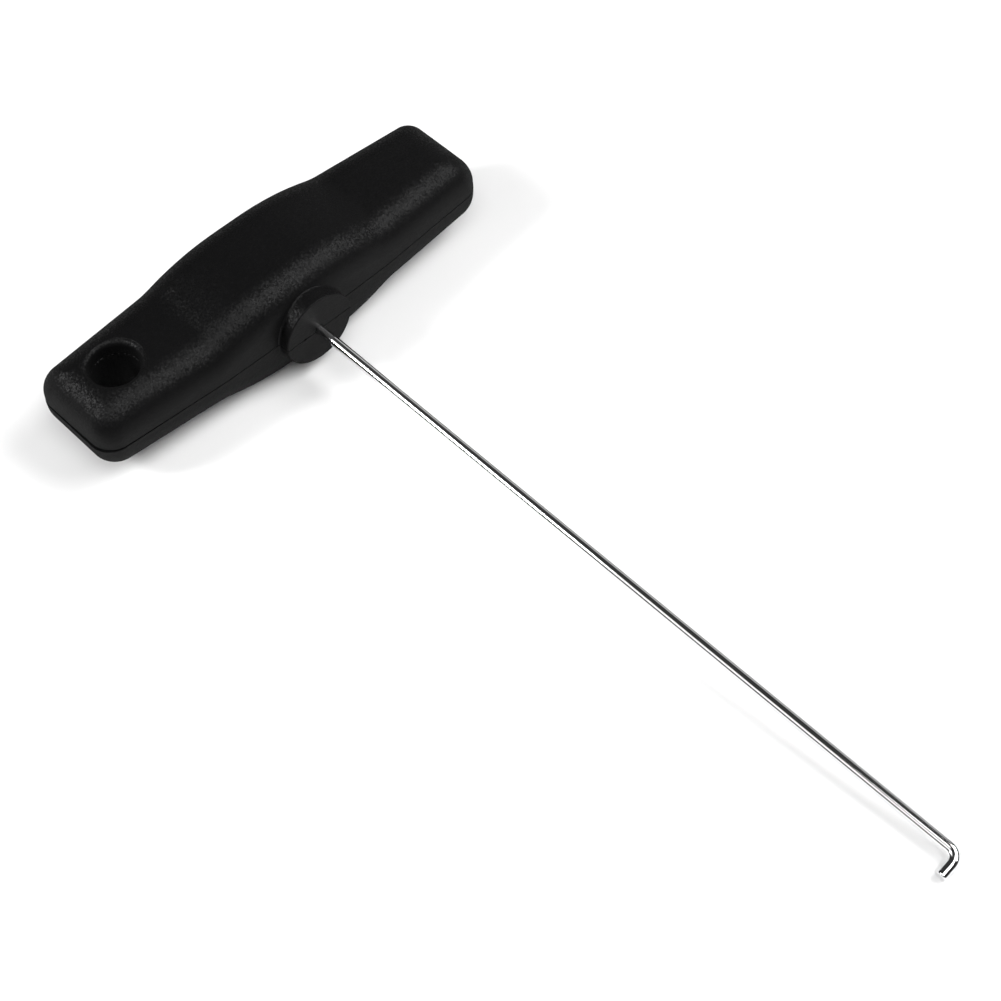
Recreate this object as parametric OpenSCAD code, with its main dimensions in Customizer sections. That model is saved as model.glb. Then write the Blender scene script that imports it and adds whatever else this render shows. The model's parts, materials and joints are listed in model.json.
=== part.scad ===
// T-handle pull hook: a straight steel wire with a short turned hook at its
// tip, clamped between the two moulded halves of a hollow T handle.
//
// Frame: X runs along the handle (hanging hole at -X), the wire leaves the
// handle towards -Y, and Z is the handle's thickness. The origin is the middle
// of the small flat under the handle, so the parting plane of the two halves
// lies at z = mid_t / 2.

/* [Handle] */
// Length of the handle
handle_l = 110; // [96:1:130]
// Width at the middle, over the parting line
mid_w = 29; // [28.4:0.1:31]
// Width where the swollen middle meets the end blocks
crease_w = 28.4; // [27:0.1:28.4]
// Width at the ends
end_w = 24; // [23:0.1:27]
// Thickness at the middle
mid_t = 26.8; // [24:0.1:29]
// Thickness where the swollen middle meets the end blocks
crease_t = 19.8; // [19:0.1:21]
// Thickness at the ends
end_t = 18.6; // [17.6:0.1:19]
// Distance from the middle to each crease
crease_x = 24; // [22:0.5:27]
// Length of the small flat on each crown
crown_l = 8; // [6:0.5:12]
// Radius of the two front corners, seen from above
corner_r = 5.5; // [4.5:0.1:7]
// Radius of the two back corners
back_corner_r = 4.6; // [4.2:0.1:7]
// Radius of the long edges
edge_r = 7.8; // [6.5:0.1:8]
// Draft of the side walls, degrees
draft = 2; // [0:0.5:4]
// Wall thickness of both halves
wall = 2.4; // [2:0.1:2.8]

/* [Front boss] */
// Diameter of the round boss that the wire leaves
boss_d = 18.3; // [16:0.1:19]
// Distance from the handle's long axis to the boss face
boss_y = 17.4; // [16.6:0.1:20]

/* [Hanging hole] */
// Diameter of the hole
hole_d = 11; // [8:0.5:11.5]
// Distance from the hole's axis to the handle's end
hole_end = 13.6; // [13:0.1:15]
// Radius of the rounded lips of the hole
lip_r = 1; // [0.5:0.1:1.2]
// Height of the tube's end above the parting plane
tube_top = 6; // [4.5:0.1:6.2]

/* [Wire] */
// Wire diameter
wire_d = 2.38; // [2:0.01:2.6]
// Distance from the handle's long axis to the hook leg's axis
reach = 193; // [120:1:260]
// Length of the hook leg, from the wire's axis to its tip
hook_l = 5.3; // [5:0.1:12]
// Angle of the hook leg below the handle's plane
hook_turn = 13; // [0:1:45]
// Bend radius of the wire's axis at both bends
bend_r = 2.4; // [2:0.1:3]
// Length of the anchor leg inside the handle
anchor_l = 14; // [10:0.5:14]
// Distance from the handle's long axis back to the anchor leg
anchor_y = 3; // [2.5:0.1:4]

/* [Case screws] */
// Positions of the three screws along the handle
screw_x = [-22, 22, 42];
// Thread diameter
screw_d = 3; // [2.6:0.1:3.2]
// Length under the head
screw_l = 12; // [10:0.5:12.5]
// Head diameter
head_d = 5.6; // [5:0.1:6]
// Head height
head_h = 2.1; // [1.8:0.1:2.4]
// Height of the head's seat below the parting plane
seat_depth = 5; // [4:0.1:6]

/* [Hidden] */

round_fn = 64;
wire_fn = 32;
half_l = handle_l / 2;
hole_x = hole_end - half_l;
hole_r = hole_d / 2;
wire_r = wire_d / 2;
eps = 0.01;

// Crown arc: tangent to the crown's flat, down to the crease
arc_run = crease_x - crown_l / 2;
arc_drop = (mid_t - crease_t) / 2;
arc_r = (pow(arc_run, 2) + pow(arc_drop, 2)) / (2 * arc_drop);
side_swell = (mid_w - crease_w) / 2;
wall_inset = tan(draft) * (end_t / 2 - edge_r);
seam = 0.15;          // chamfer of both halves along the parting line
corner_shrink = 0.55; // how fast the plan corners tighten over the edge round
corner_min = 1.2;
corner_steps = 5;
arc_steps = 6;
round_steps = 6;
inner_round_steps = 3;

// Fits and inner features
wire_gap = 0.03;
rib_t = 1.8;
rib_gap = 0.1;        // each rib stops this far short of the parting plane
tube_wall = 2;
socket_gap = 0.1;
socket_wall = 1.6;
post_r = 3.4;
seat_wall = 1.6;
seat_floor = 1.8;
seat_r = head_d / 2 + 0.4;
lip_t = 0.9;          // locating lip of the lower half
lip_h = 1.2;
lip_gap = 0.1;
collar_r = 3.4;       // collar round the wire behind the boss face
boss_chamfer = 0.35;
anchor_front = anchor_y - wire_r - wire_gap;
anchor_back = anchor_y + wire_r + wire_gap;
shell_colour = [0.09, 0.09, 0.095];
steel_colour = [0.8, 0.81, 0.82];
screw_colour = [0.62, 0.62, 0.6];

// ---------------------------------------------------------------- outline

// Half width and half thickness of the handle at x
function half_w(x) = let (a = abs(x)) a < crease_x
    ? crease_w / 2 + side_swell * (1 - pow(a / crease_x, 2))
    : crease_w / 2 - (crease_w - end_w) / 2 * (a - crease_x) / (half_l - crease_x);
function half_t(x) = let (a = abs(x), run = max(a - crown_l / 2, 0)) a < crease_x
    ? mid_t / 2 - (arc_r - sqrt(pow(arc_r, 2) - pow(run, 2)))
    : crease_t / 2 - (crease_t - end_t) / 2 * (a - crease_x) / (half_l - crease_x);

// One quarter of the plan outline, from the end to the crown flat, with corner
// radius corner: inset is measured from the handle's own outline
function quarter(inset, corner) = let (
        r = max(corner - corner_shrink * inset, corner_min),
        cx = half_l - inset - r,
        cy = half_w(cx) - inset - r)
    concat(
        [for (k = [0:corner_steps]) let (a = 90 * k / corner_steps)
            [cx + r * cos(a), cy + r * sin(a)]],
        [for (k = [0:arc_steps]) let (x = crease_x - arc_run * k / arc_steps)
            [x, half_w(x) - inset]]);
function outline(inset) = let (
        back = quarter(inset, back_corner_r),
        front = quarter(inset, corner_r),
        n = len(back))
    concat(
        back,
        [for (k = [n - 1:-1:0]) [-back[k][0], back[k][1]]],
        [for (k = [0:n - 1]) [-front[k][0], -front[k][1]]],
        [for (k = [n - 1:-1:0]) [front[k][0], -front[k][1]]]);

// One ring of points: the outline at an inset, at heights given by the half
// thickness, less the part of the edge round that is still above it
function ring(inset, thin, below_top) = [for (p = outline(inset))
    [p[0], p[1], half_t(p[0]) - thin - below_top]];
function level(inset, z) = [for (p = outline(inset)) [p[0], p[1], z]];

// Half of the handle above the parting plane, made smaller all round by thin.
// low is where it starts; start_inset sets back its first ring
module half_body(thin, steps, low, start_inset) {
    r = edge_r - thin;
    rings = concat(
        [level(thin + start_inset, low)],
        [level(thin, low + start_inset)],
        [for (k = [0:steps]) let (a = 90 * k / steps)
            ring(thin + wall_inset + r * (1 - cos(a)), thin, r * (1 - sin(a)))]);
    n = len(rings[0]);
    last = (len(rings) - 1) * n;
    polyhedron(
        points = [for (one = rings) each one],
        faces = concat(
            [[for (i = [0:n - 1]) i]],
            [for (k = [0:len(rings) - 2], i = [0:n - 1]) let (j = (i + 1) % n)
                each [[k * n + i, (k + 1) * n + i, (k + 1) * n + j],
                      [k * n + i, (k + 1) * n + j, k * n + j]]],
            [for (i = [0:n / 2 - 2])
                [last + n - 1 - i, last + n - 2 - i, last + i + 1, last + i]]));
}

// ---------------------------------------------------------------- the wire

// The wire's whole path at radius r, with the anchor leg lengthened by extra
module wire_path(r, extra = 0) {
    // straight shank
    translate([0, anchor_y - bend_r, 0]) rotate([90, 0, 0])
        cylinder(r = r, h = reach + anchor_y - 2 * bend_r, $fn = wire_fn);
    // anchor bend and leg, inside the handle
    translate([bend_r, anchor_y - bend_r, 0]) rotate([0, 0, 90])
        rotate_extrude(angle = 90, $fn = round_fn) translate([bend_r, 0]) circle(r = r, $fn = wire_fn);
    translate([bend_r, anchor_y, 0]) rotate([0, 90, 0])
        cylinder(r = r, h = anchor_l - bend_r + extra, $fn = wire_fn);
    // hook bend and leg
    translate([0, -reach, 0]) rotate([0, -hook_turn, 0]) {
        translate([-bend_r, bend_r, 0]) rotate([0, 0, -90])
            rotate_extrude(angle = 90, $fn = round_fn) translate([bend_r, 0]) circle(r = r, $fn = wire_fn);
        translate([-bend_r, 0, 0]) rotate([0, -90, 0])
            cylinder(r = r, h = hook_l - bend_r, $fn = wire_fn);
    }
}

// ---------------------------------------------------------------- shell features

// Box between two corners
module block(a, b) {
    translate(a) cube(b - a);
}

// Ribs that hold the wire: two cross ribs and the pocket round the anchor leg.
// They fill from the parting plane to far outside; each half trims them
module wire_ribs() {
    top = mid_t;
    leg_end = anchor_l + rib_t + 0.2;
    block([-8, -9.6, rib_gap], [8, -9.6 + rib_t, top]);
    block([-8, -4.6, rib_gap], [8, -4.6 + rib_t, top]);
    block([bend_r + 0.4, anchor_front - 2.6, rib_gap], [leg_end, anchor_front, top]);
    block([-wire_r - rib_t, anchor_back, rib_gap], [leg_end, anchor_back + rib_t, top]);
    block([-wire_r - wire_gap - rib_t, anchor_front - 2.6, rib_gap],
          [-wire_r - wire_gap, anchor_back + rib_t, top]);
    block([anchor_l + 0.2, anchor_front - 2.6, rib_gap], [leg_end, anchor_back + rib_t, top]);
    for (x = [5, 10])
        block([x, anchor_front - eps, rib_gap], [x + 1.6, anchor_back + eps, top]);
}

// Low stiffening ribs along the handle, between the tube and the posts
module spine_ribs() {
    for (span = [[hole_x + 6, screw_x[0] - 2], [screw_x[1] + 2, screw_x[2] - 2]])
        block([span[0], -rib_t / 2, 2.5], [span[1], rib_t / 2, mid_t]);
}

// Half disc of the boss with its chamfered front edge, above the parting plane
module boss_half() {
    intersection() {
        translate([0, -boss_y, 0]) rotate([-90, 0, 0]) {
            cylinder(d1 = boss_d - 2 * boss_chamfer, d2 = boss_d, h = boss_chamfer, $fn = round_fn);
            translate([0, 0, boss_chamfer])
                cylinder(d = boss_d, h = boss_y - boss_chamfer - 9.5, $fn = round_fn);
        }
        block([-boss_d, -boss_y - 1, 0], [boss_d, 0, mid_t]);
    }
}

// What the boss leaves open behind its face: a cored space with a collar
module boss_core() {
    difference() {
        translate([0, -boss_y + wall, 0]) rotate([-90, 0, 0])
            cylinder(r = boss_d / 2 - wall, h = boss_y - wall - 6, $fn = round_fn);
        translate([0, -boss_y, 0]) rotate([-90, 0, 0])
            cylinder(r = collar_r, h = boss_y - 9.6 + rib_t, $fn = round_fn);
    }
}

// Rounded lip of the hanging hole, cut from the face at half_t
module hole_lip() {
    top = half_t(hole_x);
    rotate_extrude($fn = round_fn) difference() {
        translate([hole_r - 0.3, top - lip_r]) square([lip_r + 0.3, lip_r + 1]);
        translate([hole_r + lip_r, top - lip_r]) circle(r = lip_r, $fn = round_fn);
    }
}

// Everything that both halves share, above the parting plane: skin, boss and
// ribs, with the hollow inside
module shared_half() {
    difference() {
        union() {
            half_body(0, round_steps, 0, seam);
            boss_half();
        }
        half_body(wall, inner_round_steps, -1, 0);
        boss_core();
    }
    intersection() {
        union() {
            wire_ribs();
            spine_ribs();
        }
        half_body(wall / 2, inner_round_steps, 0, 0);
    }
}

// ---------------------------------------------------------------- sub-parts

// Upper half: skin, socket and pad round the hanging hole, pilot posts
module upper_shell() {
    color(shell_colour) translate([0, 0, mid_t / 2]) difference() {
        union() {
            shared_half();
            intersection() {
                union() {
                    for (x = screw_x) translate([x, 0, 0]) cylinder(r = post_r, h = mid_t, $fn = round_fn);
                    translate([hole_x, 0, rib_gap])
                        cylinder(r = hole_r + tube_wall + socket_gap + socket_wall, h = mid_t, $fn = round_fn);
                }
                half_body(wall / 2, inner_round_steps, 0, 0);
            }
        }
        // pilot bores, open at the parting plane
        for (x = screw_x) translate([x, 0, -1])
            cylinder(d = screw_d, h = screw_l - seat_depth + 1.6, $fn = wire_fn);
        // hanging hole, its lip, and the socket of the lower half's tube
        translate([hole_x, 0, 0]) {
            translate([0, 0, -1]) cylinder(r = hole_r, h = mid_t, $fn = round_fn);
            translate([0, 0, -1])
                cylinder(r = hole_r + tube_wall + socket_gap, h = tube_top + 1, $fn = round_fn);
            hole_lip();
        }
        // rebate for the lower half's locating lip
        difference() {
            translate([0, 0, -1]) linear_extrude(height = 1 + lip_h + lip_gap)
                polygon(outline(wall - lip_t - lip_gap));
            translate([0, 0, -2]) linear_extrude(height = 3 + lip_h)
                polygon(outline(wall + eps));
            block([-boss_d / 2, -boss_y, -2], [boss_d / 2, 0, 3 + lip_h]);
        }
        wire_path(wire_r + wire_gap);
    }
}

// Lower half: skin, hanging-hole tube, screw towers and locating lip
module lower_shell() {
    color(shell_colour) translate([0, 0, mid_t / 2]) mirror([0, 0, 1]) difference() {
        union() {
            shared_half();
            intersection() {
                union() {
                    for (x = screw_x) translate([x, 0, 0]) {
                        cylinder(r = post_r, h = mid_t, $fn = round_fn);
                        translate([0, 0, seat_depth - seat_floor])
                            cylinder(r = seat_r + seat_wall, h = mid_t, $fn = round_fn);
                    }
                    translate([hole_x, 0, 0]) cylinder(r = hole_r + tube_wall, h = mid_t, $fn = round_fn);
                }
                half_body(wall / 2, inner_round_steps, 0, 0);
            }
            // the tube's spigot and the lip reach above the parting plane
            translate([hole_x, 0, -tube_top]) cylinder(r = hole_r + tube_wall, h = tube_top + 2, $fn = round_fn);
            difference() {
                translate([0, 0, -lip_h]) linear_extrude(height = lip_h + 1)
                    polygon(outline(wall - lip_t));
                translate([0, 0, -lip_h - 1]) linear_extrude(height = lip_h + 3)
                    polygon(outline(wall + eps));
                block([-boss_d / 2 - 1, -boss_y, -lip_h - 1], [boss_d / 2 + 1, 0, 3]);
            }
        }
        // screw seats and clearance holes
        for (x = screw_x) translate([x, 0, 0]) {
            translate([0, 0, -1]) cylinder(d = screw_d + 0.3, h = mid_t, $fn = wire_fn);
            translate([0, 0, seat_depth]) cylinder(r = seat_r, h = mid_t, $fn = round_fn);
        }
        // hanging hole and its lip
        translate([hole_x, 0, 0]) {
            translate([0, 0, -tube_top - 1]) cylinder(r = hole_r, h = mid_t + tube_top, $fn = round_fn);
            hole_lip();
        }
        mirror([0, 0, 1]) wire_path(wire_r + wire_gap);
    }
}

// Steel wire with the anchor leg inside the handle and the hook at its tip
module hook_wire() {
    color(steel_colour) translate([0, 0, mid_t / 2]) wire_path(wire_r);
}

// One pan-head screw standing on its head, with a cross recess
module case_screw() {
    slot_w = 0.9;
    slot_l = 3.2;
    difference() {
        union() {
            cylinder(d1 = head_d - 1, d2 = head_d, h = 0.5, $fn = round_fn);
            translate([0, 0, 0.5]) cylinder(d = head_d, h = head_h - 0.5, $fn = round_fn);
            translate([0, 0, head_h]) cylinder(d = screw_d, h = screw_l - 1.5, $fn = wire_fn);
            translate([0, 0, head_h + screw_l - 1.5])
                cylinder(d1 = screw_d, d2 = 0.8, h = 1.5, $fn = wire_fn);
        }
        for (a = [0, 90]) rotate([0, 0, a])
            translate([-slot_l / 2, -slot_w / 2, -1]) cube([slot_l, slot_w, 2.1]);
    }
}

// Three identical screws, driven from below
module case_screws() {
    color(screw_colour) for (x = screw_x)
        translate([x, 0, mid_t / 2 - seat_depth - head_h]) case_screw();
}

upper_shell();
lower_shell();
hook_wire();
case_screws();
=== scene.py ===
"""T-handle pull hook: the looks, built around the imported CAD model.

The handle's two moulded halves, the wire and the screws are remeshed finely
over the CAD solids, and the set is a white table under soft boxes.
Lengths below are in millimetres in the parting plane's frame; to_scene turns
them into metres in the model's frame.
"""

import json
import math

import bmesh
import bpy
import numpy as np
from mathutils import Matrix, Vector


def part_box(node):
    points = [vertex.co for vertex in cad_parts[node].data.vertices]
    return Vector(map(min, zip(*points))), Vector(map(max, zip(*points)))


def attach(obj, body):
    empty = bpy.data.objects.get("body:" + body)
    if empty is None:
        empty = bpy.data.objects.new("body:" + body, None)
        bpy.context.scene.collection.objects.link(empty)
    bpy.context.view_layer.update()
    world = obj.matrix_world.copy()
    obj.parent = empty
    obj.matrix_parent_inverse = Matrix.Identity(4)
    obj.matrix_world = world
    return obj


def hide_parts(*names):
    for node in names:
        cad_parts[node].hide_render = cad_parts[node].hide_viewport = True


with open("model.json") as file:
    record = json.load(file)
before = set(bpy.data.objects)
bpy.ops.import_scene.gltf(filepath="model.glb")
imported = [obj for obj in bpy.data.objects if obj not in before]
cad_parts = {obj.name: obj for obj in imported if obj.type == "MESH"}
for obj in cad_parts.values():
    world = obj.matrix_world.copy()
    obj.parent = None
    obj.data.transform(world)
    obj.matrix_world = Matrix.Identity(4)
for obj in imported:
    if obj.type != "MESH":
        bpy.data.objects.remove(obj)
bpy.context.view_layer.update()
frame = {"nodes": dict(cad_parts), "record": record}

MM = 0.001
MOUNTS = {m["name"]: m for m in frame["record"]["mounts"]}

# ------------------------------------------------- sizes taken from the frame

UPPER_LOW, UPPER_HIGH = (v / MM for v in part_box("upper_shell"))

MID_Z = UPPER_LOW.z                       # the parting plane's height
HALF_L = UPPER_HIGH.x
MID_W = 2 * UPPER_HIGH.y
MID_T = 2 * (UPPER_HIGH.z - MID_Z)
BOSS_Y = -UPPER_LOW.y
HOLE_X = MOUNTS["hang_hole"]["pos_m"][0] / MM
HOLE_R = MOUNTS["hang_hole"]["dims"]["r_mm"]
WIRE_R = MOUNTS["hook_tip"]["dims"]["r_mm"]
REACH = -MOUNTS["hook_tip"]["pos_m"][1] / MM
LEG_AXIS = Vector(MOUNTS["hook_tip"]["axis"])

# --------------------------------- the handle's other sizes, as the CAD has them

CREASE_X, CREASE_W, CREASE_T = 24.0, 28.4, 19.8
END_W, END_T = 24.0, 18.6
CROWN_L = 8.0                             # small flat on the crown
FRONT_CORNER_R, BACK_CORNER_R = 5.5, 4.6  # in plan
CORNER_SHRINK, CORNER_MIN = 0.55, 1.2     # how they tighten over the edge's round
EDGE_R = 7.8                              # round between a face and the walls
DRAFT = 2.0                               # of the walls, in degrees
WALL_INSET = math.tan(math.radians(DRAFT)) * (END_T / 2 - EDGE_R)
BOSS_R = 9.15
TUBE_TOP = 6.0                            # height of the seam inside the hole
BEND_R, HOOK_L = 2.4, 5.3
ANCHOR_Y, ANCHOR_L = 3.0, 14.0
SCREW_X = (-22.0, 22.0, 42.0)
SCREW_R, SCREW_L = 1.5, 12.0
HEAD_R, HEAD_H, SEAT_DEPTH, SEAT_R = 2.8, 2.1, 5.0, 3.2

# ------------------------------------ detail that the CAD leaves out or simplifies

CREASE_BLUR = 1.6                         # the creases are softened over this
SEAM_EDGE = 0.12                          # rounding of both halves at the seam
SEAM_GAP = 0.10                           # half the gap at the closed end
SEAM_GAPE, GAPE_FROM = 0.25, 12           # extra gap of the lower half at -X
GAPE_POWER = 1.5
SET_BACK, SET_BACK_FROM = 0.40, 30        # the upper half falls short at -X
SET_BACK_MIDDLE = 0.6                     # share of it on the middle line
LIP_R = 1.6                               # hanging hole's lip, 1 in the CAD
RING_GROOVE = 0.24                        # groove of the seam inside the hole
BOSS_EDGE = 0.3                           # rounding of the boss's outer edge
BOSS_FILLET = 0.5                         # round between the boss and the body
PIT_X, PIT_R = -4.3, 0.3                  # small pit on the boss's parting line
PIT_DEPTHS = (0.6, 0.9)                   # at its wall and in its middle
TIP_EDGE = 0.38                           # rounding of the hook's cut end
THREAD_DEPTH, THREAD_PITCH = 0.35, 1.25
THREAD_HALF, THREAD_ROOT = 0.34, 0.2      # half its height, how far it sinks in
THREAD_ENDS = (0.6, 1.2)                  # bare length under the head, at the point
HEAD_ROUND, POINT_L, POINT_R = 1.1, 1.6, 0.15
RECESS_WIDE, RECESS_NARROW = 1.75, 0.5    # half lengths of the cross recess's arms
RECESS_DEPTH, RECESS_HALF = 1.3, 0.42     # its depth, half width of the arms

# ------------------------------------------------------------ fineness and fits

CORNER_STEPS, SIDE_STEPS, ROUND_STEPS = 22, 66, 28
TURN_STEPS = 128                          # segments round a hole or the boss
SCREW_STEPS, PIT_STEPS, THREAD_STEPS = 64, 24, 28
LIP_STEPS, HEAD_STEPS, EDGE_STEPS = 12, 10, 6
WIRE_SIDES = 56
ANCHOR_STEPS, WIRE_STEPS, HOOK_STEPS = 20, 24, 28
SMOOTH_ANGLE = math.radians(32)
CORE_INSET = 1.2                          # the CAD's own hollow starts this deep
PRONG_PLAY = (0.1, 0.3)                   # the prong is this much inside the void
CHANNEL_PLAY, CHANNEL_END = 0.05, -11     # round the wire, and where it stops
PAST = 2.0                                # how far cutters pass the tube's top
OUTSIDE = 20                              # beyond the handle's width or depth


def to_scene(p):
    """Millimetres from the parting plane's middle, in metres in the frame."""
    return (p[0] * MM, p[1] * MM, (p[2] + MID_Z) * MM)


# ------------------------------------------------------------- mesh utilities

def mesh_object(name, points, faces):
    """A new object from points in millimetres, with its normals outward."""
    mesh = bpy.data.meshes.new(name)
    mesh.from_pydata([to_scene(p) for p in points], [], faces)
    bm = bmesh.new()
    bm.from_mesh(mesh)
    bmesh.ops.remove_doubles(bm, verts=bm.verts, dist=1e-7)
    bmesh.ops.recalc_face_normals(bm, faces=bm.faces)
    bm.to_mesh(mesh)
    bm.free()
    obj = bpy.data.objects.new(name, mesh)
    bpy.context.scene.collection.objects.link(obj)
    return obj


def combine(obj, other, operation):
    """obj becomes obj and other combined, and other is deleted."""
    mod = obj.modifiers.new("combine", "BOOLEAN")
    mod.operation, mod.object, mod.solver = operation, other, "MANIFOLD"
    graph = bpy.context.evaluated_depsgraph_get()
    made = bpy.data.meshes.new_from_object(obj.evaluated_get(graph))
    obj.modifiers.clear()
    old, obj.data = obj.data, made
    bpy.data.meshes.remove(old)
    gone = other.data
    bpy.data.objects.remove(other)
    bpy.data.meshes.remove(gone)
    return obj


def turned(name, profile, axis, centre, steps=TURN_STEPS):
    """Solid of revolution: profile holds (radius, height) pairs from the axis
    to the axis, axis is "z" or "y", and centre is its zero height."""
    points, faces = [], []
    for k in range(steps):
        a = 2 * math.pi * k / steps
        for r, h in profile:
            u, v = r * math.cos(a), r * math.sin(a)
            local = (u, v, h) if axis == "z" else (u, h, v)
            points.append([c + d for c, d in zip(centre, local)])
    n = len(profile)
    for k in range(steps):
        a, b = k * n, (k + 1) % steps * n
        faces += [(a + i, a + i + 1, b + i + 1, b + i) for i in range(n - 1)]
    return mesh_object(name, points, faces)


def arc(centre, radius, start, end, steps):
    """Points on an arc in a profile's plane, angles in degrees."""
    return [(centre[0] + radius * math.cos(math.radians(a)),
             centre[1] + radius * math.sin(math.radians(a)))
            for a in np.linspace(start, end, steps + 1)]


def box(name, low, high):
    """Plain block, used only to cut with."""
    x, y, z = zip(low, high)
    points = [(a, b, c) for c in z for b in y for a in x]
    faces = [(0, 2, 3, 1), (4, 5, 7, 6), (0, 1, 5, 4), (2, 6, 7, 3), (0, 4, 6, 2), (1, 3, 7, 5)]
    return mesh_object(name, points, faces)


def finish_mesh(obj):
    """Smooth shading, with edges sharper than SMOOTH_ANGLE kept crisp."""
    bm = bmesh.new()
    bm.from_mesh(obj.data)
    bmesh.ops.dissolve_degenerate(bm, dist=2e-7, edges=bm.edges)
    bm.to_mesh(obj.data)
    bm.free()
    obj.data.shade_smooth()
    obj.data.set_sharp_from_angle(angle=SMOOTH_ANGLE)
    mod = obj.modifiers.new("flats", "WEIGHTED_NORMAL")
    mod.mode, mod.weight, mod.keep_sharp = "FACE_AREA_WITH_ANGLE", 60, True


# ---------------------------------------------------------- the handle's outline

def half_width(x):
    """Half of the handle's width at x."""
    a = abs(x)
    if a < CREASE_X:
        return CREASE_W / 2 + (MID_W - CREASE_W) / 2 * (1 - (a / CREASE_X) ** 2)
    return CREASE_W / 2 - (CREASE_W - END_W) / 2 * (a - CREASE_X) / (HALF_L - CREASE_X)


def raw_half_thickness(x):
    """Half of the thickness at x, with the CAD's sharp crease."""
    a = abs(x)
    if a >= CREASE_X:
        return CREASE_T / 2 - (CREASE_T - END_T) / 2 * (a - CREASE_X) / (HALF_L - CREASE_X)
    run, drop = CREASE_X - CROWN_L / 2, (MID_T - CREASE_T) / 2
    radius = (run ** 2 + drop ** 2) / (2 * drop)
    return MID_T / 2 - radius + math.sqrt(radius ** 2 - max(a - CROWN_L / 2, 0) ** 2)


def half_thickness(x):
    """The same with the crease softened, as moulding softens it."""
    shifts = np.linspace(-CREASE_BLUR, CREASE_BLUR, 13)
    return float(np.mean([raw_half_thickness(x + s) for s in shifts]))


def quarter(inset, corner_r):
    """Plan outline from the +X end to the middle, inset by so much."""
    r = max(corner_r - CORNER_SHRINK * inset, CORNER_MIN)
    cx = HALF_L - inset - r
    cy = half_width(cx) - inset - r
    corner = arc((cx, cy), r, 0, 90, CORNER_STEPS)
    side = [cx * (1 - k / SIDE_STEPS) for k in range(1, SIDE_STEPS + 1)]
    return corner + [(x, half_width(x) - inset) for x in side]


def outline(inset):
    """The whole plan outline, anticlockwise from the middle of the +X end."""
    back, front = quarter(inset, BACK_CORNER_R), quarter(inset, FRONT_CORNER_R)
    left_back = [(-x, y) for x, y in reversed(back[:-1])]
    left_front = [(-x, -y) for x, y in front]
    right_front = [(x, -y) for x, y in reversed(front[:-1])]
    return back + left_back + left_front + right_front


def gape(x):
    """How far the lower half's rim drops away towards the hanging hole."""
    t = min(max((-x - GAPE_FROM) / (HALF_L - GAPE_FROM), 0), 1)
    return SEAM_GAPE * t ** GAPE_POWER


def set_back(x, y):
    """x moved so that the upper half falls short of the lower half at the
    front corner of the -X end, and less and less towards the back one."""
    share = min(max(SET_BACK_MIDDLE - y / END_W, 0), 1)
    run = max(-x - SET_BACK_FROM, 0) / (HALF_L - SET_BACK_FROM)
    return x + SET_BACK * share * run ** 2


def half_body(name, side, thin=0.0, low=0.0, rim=0.0):
    """Closed solid of one half of the handle. side is 1 above the parting
    plane and -1 below it, thin makes it smaller all round, and low is where
    it starts. rim rounds its edge at the seam, and is given for the skin."""
    radius = EDGE_R - thin
    rings = []
    for a in ((90, 45, 0) if rim else (0,)):
        inset = rim * (1 - math.cos(math.radians(a)))
        up = rim * (1 - math.sin(math.radians(a)))
        rings.append([(x, y, low + up + (gape(x) if rim and side < 0 else 0))
                      for x, y in outline(thin + inset)])
    for k in range(ROUND_STEPS + 1):
        a = math.radians(90 * k / ROUND_STEPS)
        inset = WALL_INSET + radius * (1 - math.cos(a))
        below = thin + radius * (1 - math.sin(a))
        rings.append([(x, y, half_thickness(x) - below) for x, y in outline(thin + inset)])
    n = len(rings[0])
    points = [(x, y, side * z) for ring in rings for x, y, z in ring]
    if rim and side > 0:
        points = [(set_back(x, y), y, z) for x, y, z in points]
    faces = [tuple(range(n))]
    for k in range(len(rings) - 1):
        a, b = k * n, (k + 1) * n
        faces += [(a + i, a + (i + 1) % n, b + (i + 1) % n, b + i) for i in range(n)]
    top = (len(rings) - 1) * n
    faces += [(top + i, top + i + 1, top + n - 2 - i, top + n - 1 - i)
              for i in range(n // 2 - 1)]
    return mesh_object(name, points, faces)


# -------------------------------------------------------------- handle features

def cad_copy(node):
    """The CAD node's own mesh as a closed object to combine with."""
    mesh = frame["nodes"][node].data.copy()
    bm = bmesh.new()
    bm.from_mesh(mesh)
    bmesh.ops.remove_doubles(bm, verts=bm.verts, dist=1e-7)
    bm.to_mesh(mesh)
    bm.free()
    obj = bpy.data.objects.new(node + "_copy", mesh)
    bpy.context.scene.collection.objects.link(obj)
    return obj


def front_y(x, z):
    """Where the body's front surface is at x and height |z|."""
    shoulder = half_thickness(x) - EDGE_R
    up = max(abs(z) - shoulder, 0) / EDGE_R
    inset = WALL_INSET * min(abs(z) / shoulder, 1) + EDGE_R * (1 - math.sqrt(1 - up ** 2))
    return inset - half_width(x)


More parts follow.
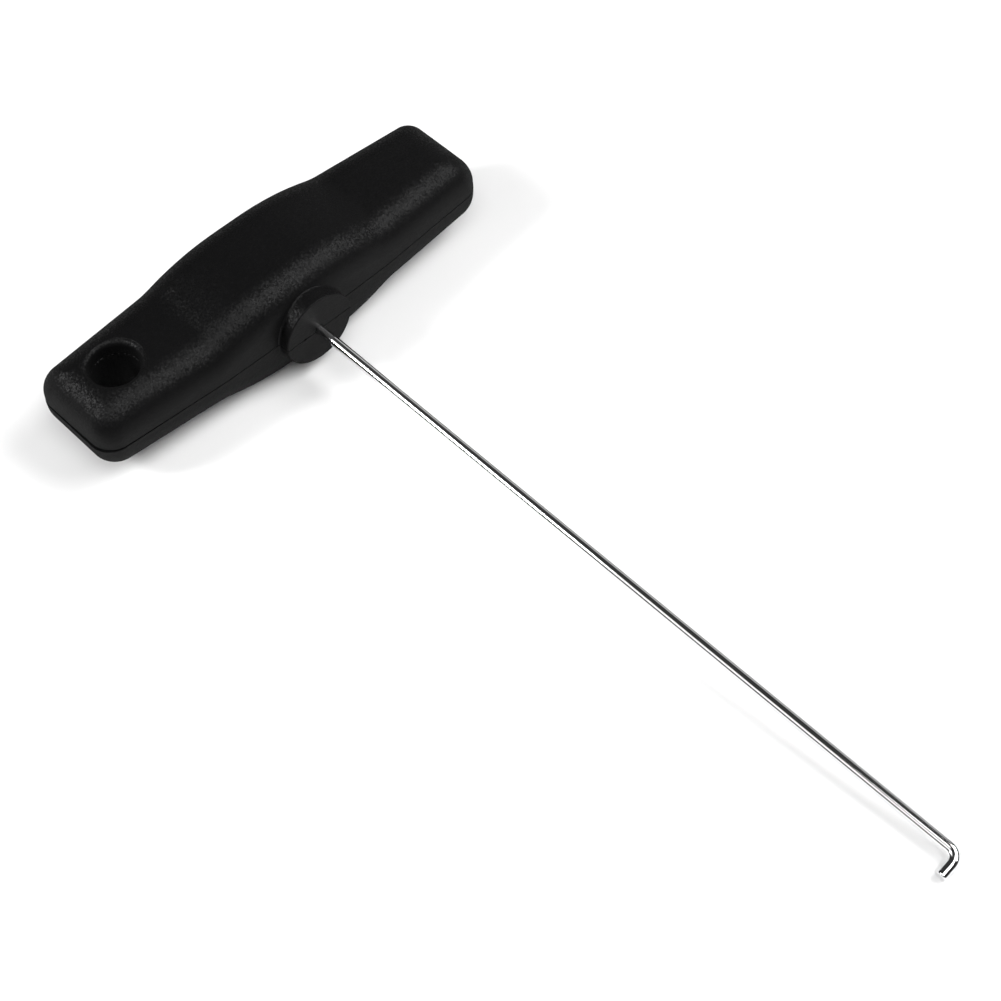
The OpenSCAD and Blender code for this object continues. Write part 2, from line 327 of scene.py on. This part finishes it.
def boss(name, side, low):
    """Half of the round boss on the handle's front, with its outer edge
    rounded and a small fillet where it leaves the body."""
    back, sunk = -9.5, 0.02               # its hidden end, the fillet's foot
    foot_r = BOSS_R + BOSS_FILLET
    edge_at = (BOSS_R - BOSS_EDGE, -BOSS_Y + BOSS_EDGE)
    points, faces = [], []
    for k in range(TURN_STEPS):
        a = 2 * math.pi * k / TURN_STEPS
        u, v = math.cos(a), math.sin(a)
        foot_y = front_y(foot_r * u, foot_r * v) + sunk
        start_y = min(foot_y, front_y(BOSS_R * u, BOSS_R * v)) - BOSS_FILLET
        column = [(0, -BOSS_Y)] + arc(edge_at, BOSS_EDGE, -90, 0, EDGE_STEPS)
        for i in range(EDGE_STEPS + 1):
            b = math.radians(90 * i / EDGE_STEPS)
            r = BOSS_R + BOSS_FILLET * (1 - math.cos(b))
            column.append((r, start_y + (foot_y - start_y) * math.sin(b)))
        column += [(foot_r, back), (0, back)]
        points += [(r * u, y, r * v) for r, y in column]
    n = len(column)
    for k in range(TURN_STEPS):
        a, b = k * n, (k + 1) % TURN_STEPS * n
        faces += [(a + i, a + i + 1, b + i + 1, b + i) for i in range(n - 1)]
    disc = mesh_object(name, points, faces)
    bottom, top = sorted((side * low, side * 2 * BOSS_R))
    keep = box("keep", (-OUTSIDE, -1.5 * OUTSIDE, bottom), (OUTSIDE, 0, top))
    return combine(disc, keep, "INTERSECT")


def hole_cutter(name, side):
    """Hanging hole with its rounded lip, following the face's slope."""
    top = half_thickness(HOLE_X)
    slope = (half_thickness(HOLE_X + 1) - half_thickness(HOLE_X - 1)) / 2
    lip = arc((HOLE_R + LIP_R, top - LIP_R), LIP_R, 180, 95, LIP_STEPS)
    profile = [(0, -TUBE_TOP - PAST), (HOLE_R, -TUBE_TOP - PAST)] + lip
    profile += [(lip[-1][0], top + 2 * PAST), (0, top + 2 * PAST)]
    cutter = turned(name, profile, "z", (HOLE_X, 0, 0))
    lip_bottom = top - LIP_R - 0.01       # with room for rounding errors
    for v in cutter.data.vertices:
        z = v.co.z / MM - MID_Z
        if z > lip_bottom:
            z += slope * (v.co.x / MM - HOLE_X)
        v.co.z = (side * z + MID_Z) * MM
    if side < 0:
        cutter.data.flip_normals()
    return cutter


def ring_groove(name):
    """Small V cut inside the hanging hole, where the two halves meet."""
    bottom, top = TUBE_TOP - RING_GROOVE, TUBE_TOP + RING_GROOVE
    inner = HOLE_R - 1
    profile = [(inner, bottom), (HOLE_R, bottom), (HOLE_R + RING_GROOVE, TUBE_TOP),
               (HOLE_R, top), (inner, top), (inner, bottom)]
    return turned(name, profile, "z", (HOLE_X, 0, 0))


def channel():
    """Cutter for the wire's way through the boss."""
    radius, start = WIRE_R + CHANNEL_PLAY, -BOSS_Y - 1
    profile = [(0, start), (radius, start), (radius, CHANNEL_END), (0, CHANNEL_END)]
    return turned("channel", profile, "y", (0, 0, 0))


def pit():
    """Cutter for the small pit on the boss's parting line."""
    wall, middle = PIT_DEPTHS
    start = -BOSS_Y - 1
    profile = [(0, start), (PIT_R, start), (PIT_R, -BOSS_Y + wall), (0, -BOSS_Y + middle)]
    return turned("pit", profile, "y", (PIT_X, 0, 0), PIT_STEPS)


def screw_seat(x):
    """Cutter for the recess that a screw's head stands in."""
    profile = [(0, -SEAT_DEPTH), (SEAT_R, -SEAT_DEPTH), (SEAT_R, -OUTSIDE), (0, -OUTSIDE)]
    return turned("seat", profile, "z", (x, 0, 0))


def shell(name, node, side):
    """One moulded half: a fine outer skin over the CAD's hollow and ribs."""
    obj = half_body(name, side, low=SEAM_GAP, rim=SEAM_EDGE)
    combine(obj, boss("boss", side, SEAM_GAP), "UNION")
    if side < 0:
        # the lower half's lip and tube stand above the parting plane
        deeper, shorter = PRONG_PLAY
        prong = half_body("prong", side, thin=CORE_INSET + deeper, low=-TUBE_TOP - shorter)
        combine(obj, prong, "UNION")
    void = half_body("void", side, thin=CORE_INSET, low=-TUBE_TOP - PAST)
    combine(void, cad_copy(node), "DIFFERENCE")
    cutters = [void, hole_cutter("hole", side), ring_groove("groove"), channel(), pit()]
    if side < 0:
        cutters += [screw_seat(x) for x in SCREW_X]
    for cutter in cutters:
        combine(obj, cutter, "DIFFERENCE")
    finish_mesh(obj)
    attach(obj, "root")
    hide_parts(node)
    return obj


# --------------------------------------------------------------------- the wire

def wire_route():
    """The wire's axis from the anchor leg's end to the hook's tip."""
    turn, hook = ANCHOR_Y - BEND_R, -REACH + BEND_R
    lead, hook_lead = 4, 1                # straight runs beside the two bends
    pts = [Vector((ANCHOR_L, ANCHOR_Y, 0)), Vector((BEND_R + lead, ANCHOR_Y, 0))]
    pts += [Vector((x, y, 0)) for x, y in arc((BEND_R, turn), BEND_R, 90, 180, ANCHOR_STEPS)]
    pts += [Vector((0, y, 0)) for y in np.linspace(turn - lead, hook + hook_lead, WIRE_STEPS)]
    for u, y in arc((BEND_R, hook), BEND_R, 180, 270, HOOK_STEPS):
        pts.append(LEG_AXIS * u + Vector((0, y, 0)))
    pts.append(LEG_AXIS * HOOK_L + Vector((0, -REACH, 0)))
    return pts


def swept(name, route, radius, sides, edge):
    """Round bar along a route, with rounded edges at both ends."""
    runs = [(b - a).normalized() for a, b in zip(route, route[1:])]
    joints = [(a + b).normalized() for a, b in zip(runs, runs[1:])]
    tangents = [runs[0]] + joints + [runs[-1]]
    rounding = [(edge * (1 - math.sin(a)), radius - edge * (1 - math.cos(a)))
                for a in np.linspace(math.pi / 2, 0, EDGE_STEPS)]
    stations = [(route[0] + tangents[0] * d, tangents[0], r) for d, r in rounding]
    stations += [(p, t, radius) for p, t in zip(route[1:-1], tangents[1:-1])]
    stations += [(route[-1] - tangents[-1] * d, tangents[-1], r) for d, r in reversed(rounding)]
    normal = tangents[0].orthogonal().normalized()
    points, faces = [], []
    for p, t, r in stations:
        normal = (normal - t * normal.dot(t)).normalized()
        side = t.cross(normal)
        for k in range(sides):
            a = 2 * math.pi * k / sides
            points.append(p + normal * (r * math.cos(a)) + side * (r * math.sin(a)))
    n = sides
    for k in range(len(stations) - 1):
        a, b = k * n, (k + 1) * n
        faces += [(a + i, a + (i + 1) % n, b + (i + 1) % n, b + i) for i in range(n)]
    faces += [tuple(range(n)), tuple(range(len(points) - n, len(points)))]
    return mesh_object(name, points, faces)


def hook_wire():
    """The steel wire with its anchor leg and its hook."""
    obj = swept("hook_wire_fine", wire_route(), WIRE_R, WIRE_SIDES, TIP_EDGE)
    finish_mesh(obj)
    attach(obj, "root")
    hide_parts("hook_wire")
    return obj


# ------------------------------------------------------------------- the screws

def thread(name, x, bottom, top):
    """Solid helical ridge round a screw's core."""
    core = SCREW_R - THREAD_DEPTH
    root = core - THREAD_ROOT
    count = int((top - bottom) / THREAD_PITCH * THREAD_STEPS)
    points, faces = [], []
    for k in range(count + 1):
        a = 2 * math.pi * k / THREAD_STEPS
        h = bottom + THREAD_PITCH * k / THREAD_STEPS
        fade = min(1, k / THREAD_STEPS, (count - k) / THREAD_STEPS)
        crest = core + (SCREW_R - core) * fade
        for r, dz in ((root, -THREAD_HALF), (crest, 0), (root, THREAD_HALF)):
            points.append((x + r * math.cos(a), r * math.sin(a), h + dz))
    for k in range(count):
        a, b = 3 * k, 3 * (k + 1)
        faces += [(a, a + 1, b + 1, b), (a + 1, a + 2, b + 2, b + 1), (a + 2, a, b, b + 2)]
    faces += [(0, 1, 2), (3 * count, 3 * count + 1, 3 * count + 2)]
    return mesh_object(name, points, faces)


def recess_arm(x, foot, turn):
    """Cutter for one arm of a screw's cross recess, turned by so many degrees."""
    t = math.radians(turn)
    half = RECESS_HALF
    corners = []
    for h, arm in ((foot - 0.1, RECESS_WIDE), (foot + RECESS_DEPTH, RECESS_NARROW)):
        for u, v in ((-arm, -half), (arm, -half), (arm, half), (-arm, half)):
            corners.append((x + u * math.cos(t) - v * math.sin(t),
                            u * math.sin(t) + v * math.cos(t), h))
    faces = [(0, 1, 2, 3), (4, 5, 6, 7)]
    faces += [(i, (i + 1) % 4, 4 + (i + 1) % 4, 4 + i) for i in range(4)]
    return mesh_object("recess", corners, faces)


def case_screw(x, name):
    """Pan-head screw standing on its head, with a tapered cross recess."""
    foot = -SEAT_DEPTH - HEAD_H
    tip = -SEAT_DEPTH + SCREW_L
    core = SCREW_R - THREAD_DEPTH
    bare_top, bare_point = THREAD_ENDS
    round_at = (HEAD_R - HEAD_ROUND, foot + HEAD_ROUND)
    profile = [(0, foot)] + arc(round_at, HEAD_ROUND, -90, 0, HEAD_STEPS)
    profile += [(HEAD_R, -SEAT_DEPTH), (core, -SEAT_DEPTH), (core, tip - POINT_L),
                (POINT_R, tip), (0, tip)]
    obj = turned(name, profile, "z", (x, 0, 0), SCREW_STEPS)
    ridge = thread("ridge", x, -SEAT_DEPTH + bare_top, tip - bare_point)
    combine(obj, ridge, "UNION")
    for turn in (0, 90):
        combine(obj, recess_arm(x, foot, turn), "DIFFERENCE")
    finish_mesh(obj)
    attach(obj, "root")
    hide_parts("case_screws")
    return obj


# -------------------------------------------------------------------- materials
# Sizes here are in metres, and a texture's scale is in cells per metre.

NOISE_LOW, NOISE_HIGH = 0.3, 0.7          # nearly all of a noise lies between
GRAIN_CELL, GRAIN_TILT = 0.00026, 0.19    # the spark-eroded texture's facets
WALL_FACING, TOP_FACING = 0.35, 0.80      # |normal z| where they start and are full
SCUFF = (0.06, 0.06, 0.06)


def new_material(name):
    """(material, its node tree's add function, link function, the shader)."""
    mat = bpy.data.materials.new(name)
    mat.use_nodes = True
    tree = mat.node_tree
    shader = next(n for n in tree.nodes if n.type == "BSDF_PRINCIPLED")
    return mat, tree.nodes.new, tree.links.new, shader


def noise(add, link, vector, scale, detail=3.0, roughness=0.55):
    """Noise texture over a vector output."""
    node = add("ShaderNodeTexNoise")
    node.inputs["Scale"].default_value = scale
    node.inputs["Detail"].default_value = detail
    node.inputs["Roughness"].default_value = roughness
    link(vector, node.inputs["Vector"])
    return node.outputs["Fac"]


def remap(add, link, value, low, high, to_low, to_high):
    """value from low..high to to_low..to_high, clamped."""
    node = add("ShaderNodeMapRange")
    node.inputs["From Min"].default_value = low
    node.inputs["From Max"].default_value = high
    node.inputs["To Min"].default_value = to_low
    node.inputs["To Max"].default_value = to_high
    link(value, node.inputs["Value"])
    return node.outputs["Result"]


def colour_mix(add, link, fac, first, second):
    """Mix of two colours by a factor output."""
    node = add("ShaderNodeMix")
    node.data_type = "RGBA"
    link(fac, node.inputs["Factor"])
    for socket, value in (("A", first), ("B", second)):
        target = [s for s in node.inputs if s.name == socket and s.type == "RGBA"][0]
        if hasattr(value, "is_linked"):
            link(value, target)
        else:
            target.default_value = (*value, 1)
    return [s for s in node.outputs if s.type == "RGBA"][0]


def spread(add, link, fac, to_low, to_high):
    """A noise output stretched to run from to_low to to_high."""
    return remap(add, link, fac, NOISE_LOW, NOISE_HIGH, to_low, to_high)


def mottle(add, link, fac, first, second):
    """Colour that wanders between two others with a noise output."""
    return colour_mix(add, link, spread(add, link, fac, 0.0, 1.0), first, second)


def maths(add, link, operation, first, second=None):
    """Maths node over one or two outputs."""
    node = add("ShaderNodeMath")
    node.operation = operation
    link(first, node.inputs[0])
    if second is not None:
        link(second, node.inputs[1])
    return node.outputs[0]


def bump(add, link, height, distance, strength, normal=None):
    """Bump node over a height output."""
    node = add("ShaderNodeBump")
    node.inputs["Distance"].default_value = distance
    node.inputs["Strength"].default_value = strength
    link(height, node.inputs["Height"])
    if normal is not None:
        link(normal, node.inputs["Normal"])
    return node.outputs["Normal"]


def vector_math(add, link, operation, first, second):
    """Vector maths node; second is an output or a plain vector."""
    node = add("ShaderNodeVectorMath")
    node.operation = operation
    link(first, node.inputs[0])
    if hasattr(second, "is_linked"):
        link(second, node.inputs[1])
    else:
        node.inputs[1].default_value = second
    return node.outputs["Vector"]


def facets(add, link, place, size, tilt):
    """Normals of a spark-eroded surface: cells of this size, each leaning its
    own way by up to tilt (the tangent of the angle). The walls that slide
    along the mould's sides are smoother."""
    normal = add("ShaderNodeNewGeometry").outputs["Normal"]
    split = add("ShaderNodeSeparateXYZ")
    link(normal, split.inputs[0])
    facing = maths(add, link, "ABSOLUTE", split.outputs["Z"])
    depth = remap(add, link, facing, WALL_FACING, TOP_FACING, 0.0, 2 * tilt)
    cells = add("ShaderNodeTexVoronoi")
    cells.inputs["Scale"].default_value = 1 / size
    link(place, cells.inputs["Vector"])
    lean = vector_math(add, link, "SUBTRACT", cells.outputs["Color"], (0.5, 0.5, 0.5))
    lean = vector_math(add, link, "MULTIPLY", lean, depth)
    turned_to = vector_math(add, link, "ADD", lean, normal)
    return vector_math(add, link, "NORMALIZE", turned_to, (0, 0, 0))


def handle_plastic():
    """Black moulded plastic with a fine spark-eroded texture and a few scuffs."""
    mat, add, link, shader = new_material("handle_plastic_fine")
    place = add("ShaderNodeTexCoord").outputs["Object"]
    grain = noise(add, link, place, 1500, 3.0, 0.7)
    cloud = noise(add, link, place, 45, 3.0, 0.6)
    speck = add("ShaderNodeTexVoronoi")
    speck.inputs["Scale"].default_value = 150
    link(place, speck.inputs["Vector"])
    scuff = remap(add, link, speck.outputs["Distance"], 0.02, 0.05, 1.0, 0.0)
    rare = remap(add, link, noise(add, link, place, 60, 1.0), 0.66, 0.70, 0.0, 1.0)
    marks = maths(add, link, "MULTIPLY", scuff, rare)
    base = mottle(add, link, cloud, (0.0026, 0.0026, 0.0027), (0.0032, 0.0032, 0.0033))
    link(colour_mix(add, link, marks, base, SCUFF), shader.inputs["Base Color"])
    slant = add("ShaderNodeLayerWeight")
    slant.inputs["Blend"].default_value = 0.5
    matt_aslant = remap(add, link, slant.outputs["Facing"], 0.25, 0.85, 0.0, 0.42)
    matt = maths(add, link, "ADD", spread(add, link, grain, 0.34, 0.42), matt_aslant)
    link(matt, shader.inputs["Roughness"])
    eroded = facets(add, link, place, GRAIN_CELL, GRAIN_TILT)
    link(bump(add, link, grain, 0.00006, 1.0, eroded), shader.inputs["Normal"])
    shader.inputs["Specular IOR Level"].default_value = 0.08
    return mat


def polished_wire():
    """Bright drawn steel with faint lines along its length."""
    mat, add, link, shader = new_material("polished_wire_fine")
    place = add("ShaderNodeTexCoord").outputs["Object"]
    stretch = add("ShaderNodeMapping")
    stretch.inputs["Scale"].default_value = (1.0, 0.02, 1.0)
    link(place, stretch.inputs["Vector"])
    lines = noise(add, link, stretch.outputs["Vector"], 5200, 3.0, 0.6)
    cloud = noise(add, link, place, 120, 3.0, 0.6)
    colour = mottle(add, link, cloud, (0.80, 0.80, 0.81), (0.88, 0.88, 0.88))
    link(colour, shader.inputs["Base Color"])
    link(spread(add, link, lines, 0.04, 0.10), shader.inputs["Roughness"])
    link(bump(add, link, lines, 0.000004, 0.35), shader.inputs["Normal"])
    shader.inputs["Metallic"].default_value = 1.0
    return mat


def screw_steel():
    """Zinc-plated steel, slightly mottled."""
    mat, add, link, shader = new_material("screw_steel_fine")
    place = add("ShaderNodeTexCoord").outputs["Object"]
    cloud = noise(add, link, place, 700, 4.0, 0.65)
    colour = mottle(add, link, cloud, (0.46, 0.46, 0.45), (0.62, 0.62, 0.60))
    link(colour, shader.inputs["Base Color"])
    link(spread(add, link, cloud, 0.24, 0.42), shader.inputs["Roughness"])
    link(bump(add, link, cloud, 0.00001, 0.4), shader.inputs["Normal"])
    shader.inputs["Metallic"].default_value = 1.0
    return mat


def table_white():
    """White table with barely visible unevenness."""
    mat, add, link, shader = new_material("table_white")
    place = add("ShaderNodeTexCoord").outputs["Object"]
    cloud = noise(add, link, place, 3, 3.0, 0.5)
    colour = mottle(add, link, cloud, (0.65, 0.65, 0.65), (0.66, 0.66, 0.66))
    link(colour, shader.inputs["Base Color"])
    shader.inputs["Roughness"].default_value = 0.85
    shader.inputs["Specular IOR Level"].default_value = 0.2
    return mat


def give(obj, mat):
    """mat becomes the object's only material."""
    obj.data.materials.clear()
    obj.data.materials.append(mat)


# ------------------------------------------------------------------------ stage

TABLE_HALF = 3000.0                       # half the table's side
LIGHT_DISTANCE = 0.9                      # metres, from the tool's middle
MIDDLE, HANDLE = (0, -70, 0), (0, 0, 0)
GRID = 50                                 # half angle of a grid, in degrees
WORLD_STRENGTH = 0.04


def table_plane():
    """(point, tilt) of the table, in millimetres and radians. The tool lies
    nose down, on the round under its front edge and on the hook's tip."""
    round_y = -(MID_W / 2 - WALL_INSET - EDGE_R)
    round_z = -(MID_T / 2 - EDGE_R)
    level = math.hypot(LEG_AXIS.x, LEG_AXIS.y)
    tip_y, tip_z = -REACH, LEG_AXIS.z * HOOK_L - WIRE_R * level
    dy, dz = round_y - tip_y, round_z - tip_z
    tilt = math.atan2(dz, dy) - math.asin(EDGE_R / math.hypot(dy, dz))
    return Vector((0, tip_y, tip_z)), tilt


def table():
    """The white table that the tool lies on."""
    point, tilt = table_plane()
    half = TABLE_HALF
    points = []
    for x, y in ((-half, -half), (half, -half), (half, half), (-half, half)):
        points.append(point + Vector((x, y * math.cos(tilt), y * math.sin(tilt))))
    obj = mesh_object("table", points, [(0, 1, 2, 3)])
    give(obj, table_white())


def soft_box(name, azimuth, elevation, size, power, grid=None):
    """Rectangular area light at its bearing (degrees from +Y towards +X), with
    its size in metres and its power in watts. A grid, given by its half angle,
    turns it to the handle and keeps its light there."""
    light = bpy.data.lights.new(name, "AREA")
    light.shape = "RECTANGLE"
    light.size, light.size_y = size
    light.energy = power
    obj = bpy.data.objects.new(name, light)
    az, el = math.radians(azimuth), math.radians(elevation)
    way = Vector((math.sin(az) * math.cos(el), math.cos(az) * math.cos(el), math.sin(el)))
    aim = Vector(to_scene(MIDDLE))
    obj.location = aim + way * LIGHT_DISTANCE
    if grid:
        light.spread = math.radians(2 * grid)
        aim = Vector(to_scene(HANDLE))
    obj.rotation_mode = "QUATERNION"
    obj.rotation_quaternion = (aim - obj.location).to_track_quat("-Z", "Y")
    bpy.context.scene.collection.objects.link(obj)


def lights():
    """Soft boxes overhead, in front, on the left and low at the back."""
    soft_box("overhead", 215, 68, (0.60, 0.60), 2.0, GRID)
    soft_box("front_right", 113, 51, (0.32, 0.50), 1.65, GRID)
    soft_box("front_left", 142, 49, (0.30, 0.46), 1.18, GRID)
    soft_box("left_panel", 294, 40, (0.80, 0.52), 1.5)
    soft_box("left_spot", 304, 37, (0.18, 0.24), 5.6)
    soft_box("back_fill", 62, 27, (0.90, 0.50), 0.6)
    world = bpy.data.worlds.new("studio")
    world.use_nodes = True
    back = next(n for n in world.node_tree.nodes if n.type == "BACKGROUND")
    back.inputs["Color"].default_value = (1, 1, 1, 1)
    back.inputs["Strength"].default_value = WORLD_STRENGTH
    bpy.context.scene.world = world


def camera():
    """The camera, at the side and height that the tool is looked at from."""
    azimuth, elevation = math.radians(-43.345), math.radians(55.603)
    roll = math.radians(-1.475)
    distance, lens = 395.0, 69.04
    target = Vector((-3.992, -77.979, 0))
    back = Vector((math.sin(azimuth) * math.cos(elevation),
                   -math.cos(azimuth) * math.cos(elevation), math.sin(elevation)))
    right = Vector((math.cos(azimuth), math.sin(azimuth), 0))
    up = back.cross(right)
    rolled_right = right * math.cos(roll) + up * math.sin(roll)
    rolled_up = up * math.cos(roll) - right * math.sin(roll)
    data = bpy.data.cameras.new("camera")
    data.sensor_fit, data.sensor_width, data.lens = "HORIZONTAL", 36.0, lens
    data.clip_start, data.clip_end = 0.01, 20.0
    obj = bpy.data.objects.new("camera", data)
    turn = Matrix((rolled_right, rolled_up, back)).transposed()
    obj.matrix_world = Matrix.Translation(to_scene(target + back * distance)) @ turn.to_4x4()
    bpy.context.scene.collection.objects.link(obj)
    bpy.context.scene.camera = obj


def white_is_white():
    """Plain display transform, so that the table shows as white."""
    bpy.context.scene.view_settings.view_transform = "Standard"
    bpy.context.scene.view_settings.look = "None"


# ------------------------------------------------------------------------- make

white_is_white()
camera()
lights()
table()

plastic = handle_plastic()
give(shell("upper_shell_fine", "upper_shell", 1), plastic)
give(shell("lower_shell_fine", "lower_shell", -1), plastic)
give(hook_wire(), polished_wire())
steel = screw_steel()
for number, screw_place in enumerate(SCREW_X, 1):
    give(case_screw(screw_place, "case_screw_%d" % number), steel)
